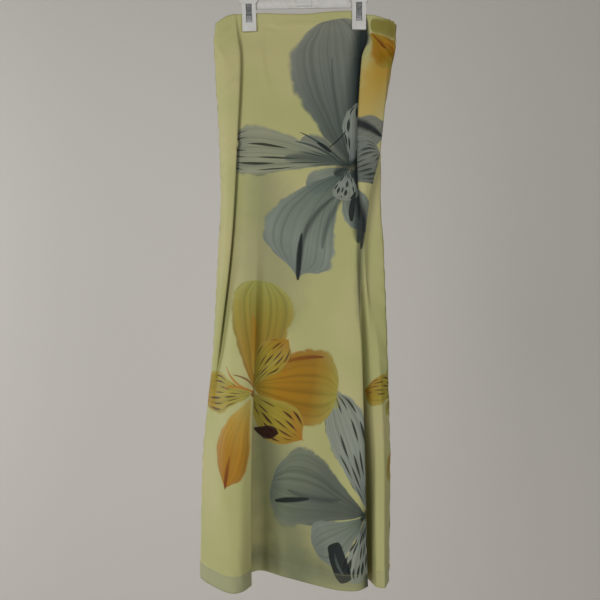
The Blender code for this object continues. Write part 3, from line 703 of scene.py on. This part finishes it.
def relief_for(table, seed):
    """A panel's height over its solid's form, in millimetres, from its flat place."""

    def relief(across, drop, left, right):
        height = creases(table, across, drop)
        slack_place = (across * SLACK_SCALE[0], drop * SLACK_SCALE[1], seed)
        height += SLACK * noise.noise(Vector(slack_place)) * min(1.0, drop / SLACK_START)
        for edge, turn in zip((left, right), SEAM_TURNS):
            near = abs(across - edge)
            if near < SEAM_REACH:
                wander = SEAM_WANDER * math.sin(drop / SEAM_WANDER_LENGTH + turn)
                wave = math.sin(drop / SEAM_WAVE + wander + near / SEAM_SLANT)
                uneven = 0.5 + 0.5 * noise.noise(Vector((drop * SEAM_UNEVEN_SCALE, turn, seed)))
                height += SEAM_PUCKER * wave * uneven * soft_bump(near / SEAM_REACH)
        above_hem = SKIRT_LENGTH / MM - drop
        if above_hem < HEM_REACH:
            hem_place = (across * HEM_SCALE[0], drop * HEM_SCALE[1], seed + HEM_SEED_STEP)
            fade = soft_bump(abs(above_hem - HEM_WAVE_HEIGHT) / (HEM_REACH - HEM_WAVE_HEIGHT))
            height += HEM_PUCKER * noise.noise(Vector(hem_place)) * fade
        if above_hem < HEM_DEPTH / MM:
            height += HEM_RISE
        return height

    return relief


def placed(name, data):
    made = bpy.data.objects.new(name, data)
    bpy.context.collection.objects.link(made)
    return made


def camera():
    data = bpy.data.cameras.new("camera")
    data.lens = CAMERA_LENS
    data.sensor_width = CAMERA_SENSOR
    made = placed("camera", data)
    made.location = CAMERA_PLACE
    made.rotation_euler = (math.radians(90), 0, 0)
    bpy.context.scene.camera = made


def area_light(name, place, target, size, power, colour):
    data = bpy.data.lights.new(name, "AREA")
    data.shape = "RECTANGLE"
    data.size, data.size_y = size
    data.energy = power
    data.color = colour
    made = placed(name, data)
    made.location = place
    made.rotation_euler = (Vector(target) - Vector(place)).to_track_quat("-Z", "Y").to_euler()


def stage():
    """A pale wall behind the skirt and a floor far below it."""
    left, right = -ROOM_SIDE, ROOM_SIDE
    back_edge = [(left, WALL_PLACE, FLOOR_HEIGHT), (right, WALL_PLACE, FLOOR_HEIGHT)]
    front_edge = [(left, FLOOR_FRONT, FLOOR_HEIGHT), (right, FLOOR_FRONT, FLOOR_HEIGHT)]
    top_edge = [(right, WALL_PLACE, WALL_TOP), (left, WALL_PLACE, WALL_TOP)]
    wall = bpy.data.meshes.new("backdrop")
    wall.from_pydata(back_edge + top_edge, [], [(0, 1, 2, 3)])
    floor = bpy.data.meshes.new("floor")
    floor.from_pydata(front_edge + back_edge[::-1], [], [(0, 1, 2, 3)])
    look, net = new_material("pale_wall")
    surface(net, {"Base Color": WALL_COLOUR, "Roughness": WALL_ROUGHNESS})
    for mesh in (wall, floor):
        mesh.materials.append(look)
        placed(mesh.name, mesh)


class Net:
    """Short calls for the nodes that a material or a node group is made of."""

    def __init__(self, tree):
        self.tree = tree
        self.tree.nodes.clear()

    def feed(self, socket, value):
        if isinstance(value, bpy.types.NodeSocket):
            self.tree.links.new(value, socket)
        else:
            socket.default_value = value

    def node(self, kind, inputs=(), **settings):
        made = self.tree.nodes.new(kind)
        for name, value in settings.items():
            setattr(made, name, value)
        for name, value in dict(inputs).items():
            self.feed(made.inputs[name], value)
        return made

    def math(self, operation, *values):
        return self.node("ShaderNodeMath", enumerate(values), operation=operation).outputs[0]

    def times(self, value, factor):
        return self.math("MULTIPLY", value, factor)

    def scaled(self, value, factor, start):
        return self.math("MULTIPLY_ADD", value, factor, start)

    def object_place(self):
        return self.node("ShaderNodeTexCoord").outputs["Object"]

    def ease(self, value, low, high, start=0.0, end=1.0):
        """Smooth step, which keeps to its limits without the node's own clamp."""
        made = self.node("ShaderNodeMapRange", interpolation_type="SMOOTHSTEP", clamp=False)
        for socket, number in zip(made.inputs, (value, low, high, start, end)):
            self.feed(socket, number)
        return made.outputs[0]

    def mix(self, factor, a, b, blend="MIX"):
        made = self.node("ShaderNodeMix", data_type="RGBA", blend_type=blend)
        for index, value in ((0, factor), (6, a), (7, b)):
            self.feed(made.inputs[index], value)
        return made.outputs[2]

    def noise(self, vector, scale, detail=2.0, roughness=0.5):
        inputs = {"Vector": vector, "Scale": scale, "Detail": detail, "Roughness": roughness}
        return self.node("ShaderNodeTexNoise", inputs).outputs[0]

    def noise_line(self, value, detail=2.0, roughness=0.5):
        made = self.node("ShaderNodeTexNoise", noise_dimensions="1D")
        inputs = {"W": value, "Scale": 1.0, "Detail": detail, "Roughness": roughness}
        for name, number in inputs.items():
            self.feed(made.inputs[name], number)
        return made.outputs[0]

    def random(self, value):
        made = self.node("ShaderNodeTexWhiteNoise", noise_dimensions="1D")
        self.feed(made.inputs["W"], value)
        return made.outputs["Value"]

    def curve(self, value, points):
        made = self.node("ShaderNodeFloatCurve", {"Value": value})
        line = made.mapping.curves[0]
        line.points[0].location = points[0]
        line.points[-1].location = points[-1]
        for point in points[1:-1]:
            line.points.new(*point)
        made.mapping.update()
        return made.outputs[0]

    def ramp(self, value, stops):
        made = self.node("ShaderNodeValToRGB", {0: value})
        elements = made.color_ramp.elements
        while len(elements) > 1:
            elements.remove(elements[-1])
        elements[0].position = stops[0][0]
        elements[0].color = (*stops[0][1], 1.0)
        for position, colour in stops[1:]:
            elements.new(position).color = (*colour, 1.0)
        return made.outputs[0]

    def turned(self, across, drop, middle, angle, flip=1):
        """A place seen from another middle and direction, as (forth, aside)."""
        cos, sin = math.cos(angle), math.sin(angle)
        forth_start = -(middle[0] * cos + middle[1] * sin)
        aside_start = middle[0] * sin - middle[1] * cos
        forth = self.scaled(drop, sin, forth_start)
        forth = self.scaled(across, cos, forth)
        aside = self.scaled(drop, cos, aside_start)
        aside = self.scaled(across, -sin, aside)
        return (self.times(forth, -1.0) if flip < 0 else forth), aside


def layer_group(name):
    """A node group that takes a place on the cloth and a colour, and gives a colour."""
    tree = bpy.data.node_groups.new(name, "ShaderNodeTree")
    for label in ("Across", "Drop", "Wobble"):
        tree.interface.new_socket(label, in_out="INPUT", socket_type="NodeSocketFloat")
    for side in ("INPUT", "OUTPUT"):
        tree.interface.new_socket("Colour", in_out=side, socket_type="NodeSocketColor")
    net = Net(tree)
    return net, net.node("NodeGroupInput").outputs


def use_group(net, tree, across, drop, wobble, colour):
    inputs = {"Across": across, "Drop": drop, "Wobble": wobble, "Colour": colour}
    made = net.node("ShaderNodeGroup", node_tree=tree)
    for name, value in inputs.items():
        net.feed(made.inputs[name], value)
    return made.outputs[0]


def streak_mask(net, kind, along, side, seed):
    """Long dashes in lanes that fan out from a petal's base."""
    lanes, count, share, thickness, start, end, _colour = STREAKS[kind]
    lane_place = net.times(side, lanes / 2)
    lane = net.math("ROUND", lane_place)
    aside = net.math("ABSOLUTE", net.math("SUBTRACT", lane_place, lane))
    shift = net.random(net.scaled(lane, LANE_SEED, seed))
    run = net.scaled(along, count, net.times(shift, DASH_SHIFT))
    order = net.math("FLOOR", run)
    taper = net.math("SUBTRACT", net.math("FRACT", run), 0.5)
    taper = net.math("DIVIDE", taper, share / 2)
    taper = net.math("SUBTRACT", 1.0, net.times(taper, taper))
    lane_seed = net.scaled(lane, DASH_LANE_SEED, seed)
    chance = net.random(net.scaled(order, DASH_SEED, lane_seed))
    spread = thickness * DASH_SPREAD
    width = net.scaled(chance, spread, thickness * (1 - DASH_SPREAD))
    width = net.times(taper, width)
    inside = net.ease(net.math("SUBTRACT", width, aside), 0.0, DASH_EDGE)
    shown = net.math("GREATER_THAN", chance, DASH_GAPS)
    fade_in = net.ease(along, start, start + DASH_FADE)
    fade_out = net.ease(along, end, end - DASH_FADE)
    window = net.times(fade_in, fade_out)
    return net.times(net.times(inside, shown), window)


def petal_group(bloom, row, seed):
    """One petal, laid over the colour so far."""
    name, x0, y0, x1, y1, half, bow, shape, tones, soft, strength, streaks = row
    net, given = layer_group(f"{bloom}_{name}")
    length = math.hypot(x1 - x0, y1 - y0)
    forth, aside = net.turned(given["Across"], given["Drop"], (x0, y0), math.atan2(y1 - y0, x1 - x0))
    along = net.math("MAXIMUM", net.math("MINIMUM", net.math("DIVIDE", forth, length), 1.0), 0.0)
    arch = net.times(along, net.math("SUBTRACT", 1.0, along))
    aside = net.scaled(arch, -4.0 * bow, aside)
    profile = net.curve(along, PETAL_SHAPES[shape])
    width = net.scaled(profile, float(half), -TIP_CUT * half)
    side = net.math("DIVIDE", aside, net.math("MAXIMUM", width, LEAST_WIDTH))
    edge = net.math("ABSOLUTE", side)
    if shape != "line":
        edge = net.scaled(given["Wobble"], EDGE_WOBBLE, edge)
    mask = net.ease(edge, 1.0, 1.0 - soft, 0.0, strength)
    tint = net.ramp(along, TONES[tones])
    if shape in VEINED_SHAPES:
        grain = net.scaled(side, VEINS_ACROSS, seed)
        grain = net.scaled(along, VEINS_ALONG, grain)
        grain = net.noise_line(grain, VEIN_DETAIL, VEIN_ROUGHNESS)
        tint = net.mix(net.ease(grain, *VEIN_RANGE), tint, VEIN_TINT, "MULTIPLY")
        tint = net.mix(net.ease(edge, *RIM_RANGE), tint, RIM_TINT, "SCREEN")
    if streaks:
        dashes = streak_mask(net, streaks, along, side, seed)
        tint = net.mix(net.times(dashes, DASH_STRENGTH), tint, (*STREAKS[streaks][-1], 1.0))
    net.node("NodeGroupOutput", {0: net.mix(mask, given["Colour"], tint)})
    return net.tree


def bloom_groups(left_out=()):
    """A node group for each bloom, which chains its petals but those left out."""
    made = {}
    seed = SEED_START
    for bloom, rows in BLOOMS.items():
        net, given = layer_group(bloom)
        colour = given["Colour"]
        for row in rows:
            seed += SEED_STEP
            if row[0] in left_out:
                continue
            tree = petal_group(bloom, row, seed)
            colour = use_group(net, tree, given["Across"], given["Drop"], given["Wobble"], colour)
        net.node("NodeGroupOutput", {0: colour})
        made[bloom] = net.tree
    return made


def new_material(name):
    """A material, and the calls that fill its empty node tree."""
    made = bpy.data.materials.new(name)
    made.use_nodes = True
    return made, Net(made.node_tree)


def surface(net, inputs):
    """The material's shader with these inputs, as its output."""
    shader = net.node("ShaderNodeBsdfPrincipled", inputs)
    net.node("ShaderNodeOutputMaterial", {0: shader.outputs[0]})
    return shader.inputs


def printed_cloth(name, blooms, groups):
    """The printed crepe: ground, blooms, painted shade on the hem, fine grain and sheen, with a
    paler inside.
    """
    made, net = new_material(name)
    flat = net.node("ShaderNodeUVMap", uv_map="flat_cloth").outputs[0]
    flat_x, flat_y, _flat_z = net.node("ShaderNodeSeparateXYZ", {0: flat}).outputs
    across = net.scaled(flat_x, 1 / MM, -UV_MIDDLE / MM)
    drop = net.scaled(flat_y, -1 / MM, UV_TOP / MM)
    wobble = net.math("SUBTRACT", net.noise(flat, *WOBBLE_NOISE), 0.5)
    clouds = net.ease(net.noise(flat, *GROUND_NOISE), *GROUND_RANGE)
    colour = net.mix(clouds, GROUND_GREEN, GROUND_CREAM)
    for bloom, x, y, turn, flip in blooms:
        spot = net.turned(across, drop, (x, y), math.radians(turn), flip)
        colour = use_group(net, groups[bloom], *spot, wobble, colour)
    # Painted shade on the turned-up hem, strongest on the left tube, where less light comes through
    # two layers
    hem_top = (SKIRT_LENGTH - HEM_DEPTH) / MM
    hem = net.ease(drop, hem_top - HEM_EDGE, hem_top + HEM_EDGE)
    hem_shade = net.ease(across, *HEM_SHADE_RANGE)
    colour = net.mix(net.times(hem, hem_shade), colour, HEM_PAINTED_SHADE)
    inside = net.node("ShaderNodeAttribute", attribute_name="inside").outputs["Fac"]
    colour = net.mix(net.times(inside, INSIDE_FADE), colour, GROUND_INSIDE)
    threads = net.noise(flat, *THREAD_NOISE)
    colour = net.mix(net.ease(threads, *THREAD_RANGE), colour, THREAD_SHADE, "MULTIPLY")
    crepe = net.noise(flat, *CREPE_NOISE)
    bump = net.node("ShaderNodeBump", {"Height": crepe, **CREPE_BUMP})
    gloss = net.ease(threads, *CLOTH_ROUGHNESS_RANGE)
    shader = surface(net, {"Base Color": colour, "Normal": bump.outputs[0], "Roughness": gloss})
    shader["Sheen Weight"].default_value = CLOTH_SHEEN
    shader["Sheen Roughness"].default_value = CLOTH_SHEEN_ROUGHNESS
    shader["Specular IOR Level"].default_value = CLOTH_SPECULAR
    return made


def new_piece(name, shape, look):
    mesh = bpy.data.meshes.new(name)
    shape.to_mesh(mesh)
    shape.free()
    mesh.materials.append(look)
    return placed(name, mesh)


def smooth_piece(name, shape, look):
    for face in shape.faces:
        face.smooth = True
    bmesh.ops.recalc_face_normals(shape, faces=shape.faces)
    return new_piece(name, shape, look)


def spindle(shape, start, end, aside, out, radius):
    """A thread or rib between two places: two tips and two square rings."""
    tips = [shape.verts.new(start), shape.verts.new(end)]
    rings = []
    for share in SPINDLE_SHOULDERS:
        middle = start.lerp(end, share)
        rings.append([shape.verts.new(middle + radius * turn)
                      for turn in (aside, out, -aside, -out)])
    for i in range(SPINDLE_SIDES):
        j = (i + 1) % SPINDLE_SIDES
        shape.faces.new((tips[0], rings[0][j], rings[0][i]))
        shape.faces.new((rings[0][i], rings[0][j], rings[1][j], rings[1][i]))
        shape.faces.new((tips[1], rings[1][i], rings[1][j]))


def hem_stitches(name, panel, count, look):
    """A line of stitches round one panel's hem, on the cloth's outer face."""
    drops = row_drops()
    row = min(range(len(drops)), key=lambda i: abs(drops[i] - STITCH_DROP))
    points = panel.data.vertices
    inner_start = len(drops) * count
    shape = bmesh.new()
    travelled, due = 0.0, STITCH_STEP
    for column in range(count - 1):
        here, there = (points[row * count + column + step].co for step in (0, 1))
        out = (here - points[inner_start + row * count + column].co).normalized()
        run = there - here
        while travelled + run.length > due:
            place = here + run.normalized() * (due - travelled) + out * STITCH_LIFT
            half = run.normalized() * STITCH_STEP * STITCH_SHARE / 2
            spindle(shape, place - half, place + half, Vector((0, 0, 1)), out, STITCH_RADIUS)
            due += STITCH_STEP
        travelled += run.length
    return smooth_piece(name, shape, look)


def ribbed_spring(name, node, look):
    """A clip's bent strip with ribs across both of its arms."""
    shape = bmesh.new()
    shape.from_mesh(node.data)
    shape.transform(node.matrix_world)
    places = [vertex.co.copy() for vertex in shape.verts]
    middle = sum((place.x for place in places)) / len(places)
    low, high = (pick(place.z for place in places) for pick in (min, max))
    for i in range(int((high - low) * RIB_SHARE / RIB_SPACING)):
        height = low + (i + RIB_START) * RIB_SPACING
        for facing in (-1, 1):
            ends = []
            for side in (-1, 1):
                edge = [place for place in places if (place.x - middle) * side > 0]
                bottom = min(edge, key=lambda place: place.z)
                top = max(edge, key=lambda place: place.z)
                across = bottom.lerp(top, (height - bottom.z) / (top.z - bottom.z)).x
                arm = [place for place in edge if place.y * facing > 0]
                arm.sort(key=lambda place: abs(place.z - height))
                depth = max(place.y * facing for place in arm[:ARM_POINTS])
                ends.append(Vector((across - side * RIB_INSET, depth * facing, height)))
            run = (ends[1] - ends[0]).normalized()
            out = Vector((0, facing, 0))
            spindle(shape, ends[0], ends[1], run.cross(out), out, RIB_RADIUS)
    return smooth_piece(name, shape, look)


def moulded_plastic(name):
    """Milky moulded plastic: faint clouds, uneven gloss and a fine moulded grain."""
    made, net = new_material(name)
    place = net.object_place()
    clouds = net.noise(place, *PLASTIC_CLOUDS)
    grain = net.noise(place, *PLASTIC_GRAIN)
    colour = net.mix(net.ease(clouds, *PLASTIC_CLOUD_RANGE), PLASTIC_WHITE, PLASTIC_WARM)
    bump = net.node("ShaderNodeBump", {"Height": grain, **PLASTIC_BUMP})
    gloss = net.ease(clouds, *PLASTIC_ROUGHNESS_RANGE)
    shader = surface(net, {"Base Color": colour, "Normal": bump.outputs[0], "Roughness": gloss})
    shader["Subsurface Weight"].default_value = PLASTIC_SUBSURFACE
    shader["Subsurface Scale"].default_value = PLASTIC_SUBSURFACE_SCALE
    return made


def brushed_steel(name):
    """Dull spring steel, brushed along the strip."""
    made, net = new_material(name)
    place = net.object_place()
    stretched = net.node("ShaderNodeMapping", {"Vector": place, "Scale": STEEL_STRETCH})
    brushing = net.noise(stretched.outputs[0], *STEEL_NOISE)
    colour = net.mix(net.ease(brushing, *STEEL_RANGE), STEEL_DARK, STEEL_LIGHT)
    gloss = net.ease(brushing, *STEEL_ROUGHNESS_RANGE)
    surface(net, {"Base Color": colour, "Metallic": STEEL_METALLIC, "Roughness": gloss})
    return made


def thread_material(name):
    """Sewing thread, its twist as a fine change of colour."""
    made, net = new_material(name)
    place = net.object_place()
    twist = net.noise(place, *THREAD_TWIST)
    colour = net.mix(twist, THREAD_DARK, THREAD_LIGHT)
    surface(net, {"Base Color": colour, "Roughness": THREAD_ROUGHNESS})
    return made


# The cloth and its stitches
# The front's blooms keep their painted shade petals and the back's leave them out
shaded_blooms = bloom_groups()
plain_blooms = bloom_groups(SHADE_ROWS)
lines = fold_lines()
front_last = len(FRONT_FOLDS) - 1
names = [line[0] for line in lines]
front, front_count = cloth_panel(
    "front_cloth", lines, 0, front_last, names.index("panel_middle"),
    relief_for(FRONT_CREASES, FRONT_SEED),
    printed_cloth("printed_crepe_front", FRONT_BLOOMS, shaded_blooms))
back, back_count = cloth_panel(
    "back_cloth", lines, front_last, len(lines), names.index("back_middle_ridge"),
    relief_for(BACK_CREASES, BACK_SEED),
    printed_cloth("printed_crepe_back", BACK_BLOOMS, plain_blooms))
thread = thread_material("sewing_thread")
front_stitches = hem_stitches("front_hem_stitches", front, front_count, thread)
back_stitches = hem_stitches("back_hem_stitches", back, back_count, thread)
for piece, node in ((front, "skirt_front"), (back, "skirt_back")):
    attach(piece, "root")
    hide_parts(node)
for piece in (front_stitches, back_stitches):
    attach(piece, "root")

# The hanger and its clips
plastic = moulded_plastic("white_plastic")
steel = brushed_steel("grey_steel")
for name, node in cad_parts.items():
    if name.endswith("spring"):
        spring = ribbed_spring(f"{name}_ribbed", node, steel)
        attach(spring, "root")
        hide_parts(name)
    elif not name.startswith("skirt"):
        node.data.materials.clear()
        node.data.materials.append(plastic)
        rounding = node.modifiers.new("rounding", "BEVEL")
        rounding.width = EDGE_ROUNDING
        rounding.segments = ROUNDING_SEGMENTS
        rounding.limit_method = "ANGLE"

# Camera, lights and stage
camera()
for light in LIGHTS:
    area_light(*light)
stage()
world = bpy.data.worlds.new("studio")
bpy.context.scene.world = world
world.use_nodes = True
background = world.node_tree.nodes["Background"]
background.inputs["Color"].default_value = WORLD_COLOUR
background.inputs["Strength"].default_value = WORLD_STRENGTH
bpy.context.scene.view_settings.view_transform = "Standard"
